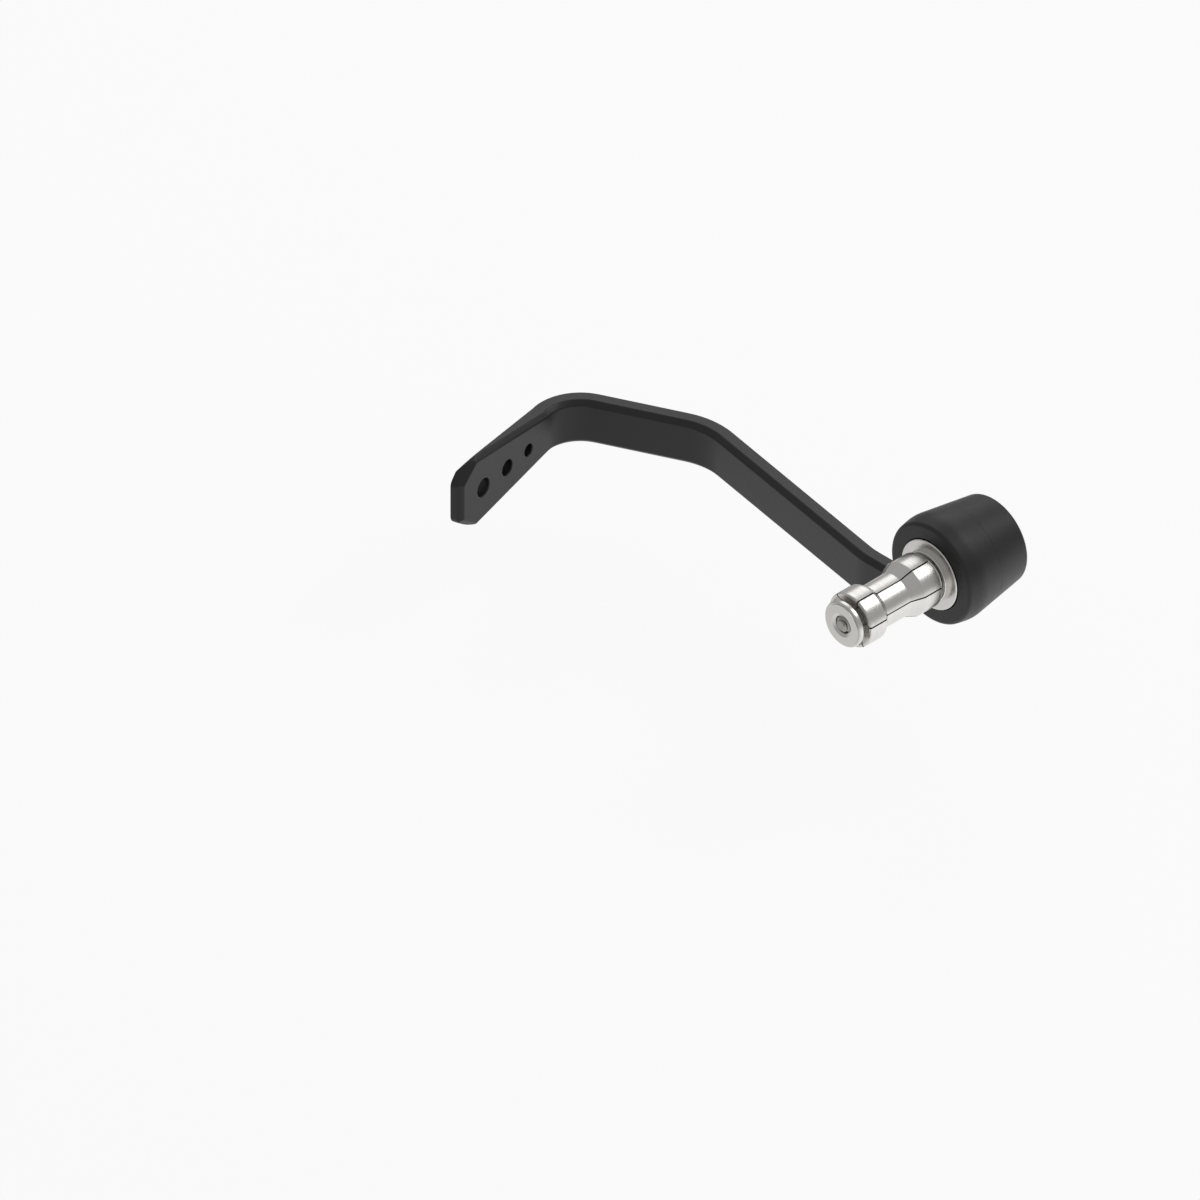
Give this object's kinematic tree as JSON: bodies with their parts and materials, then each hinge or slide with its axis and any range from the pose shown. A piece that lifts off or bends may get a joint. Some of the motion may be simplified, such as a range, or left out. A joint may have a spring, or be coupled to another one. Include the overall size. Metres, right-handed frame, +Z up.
{
  "type": "brake lever guard",
  "caption": "Brake lever guard for the right end of a motorcycle handlebar: a bent, bevelled blade with a pierced tip, on a round bobbin with an expanding insert.",
  "frame": {"origin": "on the bolt axis, in the ring face that seats on the end of the handlebar tube", "axes": "+X outboard along the handlebar, +Y forward along the blade, +Z up"},
  "size_m": [0.0819, 0.1836, 0.0534],
  "materials": {
    "blade": "satin powder coat on aluminium",
    "bobbin": "matt turned nylon",
    "label": "matt film, left bare",
    "fitting": "fine turned, bright",
    "bolt": "bright stainless"
  },
  "bodies": {
    "root": {"guard_blade": "blade", "bobbin_inner": "bobbin", "bobbin_outer": "bobbin", "centre_sleeve": "fitting", "clamp_bolt": "bolt", "bar_end_flange": "fitting", "collet_segment_1": "fitting", "collet_segment_2": "fitting", "collet_segment_3": "fitting", "collet_segment_4": "fitting", "collet_segment_5": "fitting", "collet_segment_6": "fitting", "cone_nut": "fitting", "face_label": "label"}
  },
  "joints": []
}
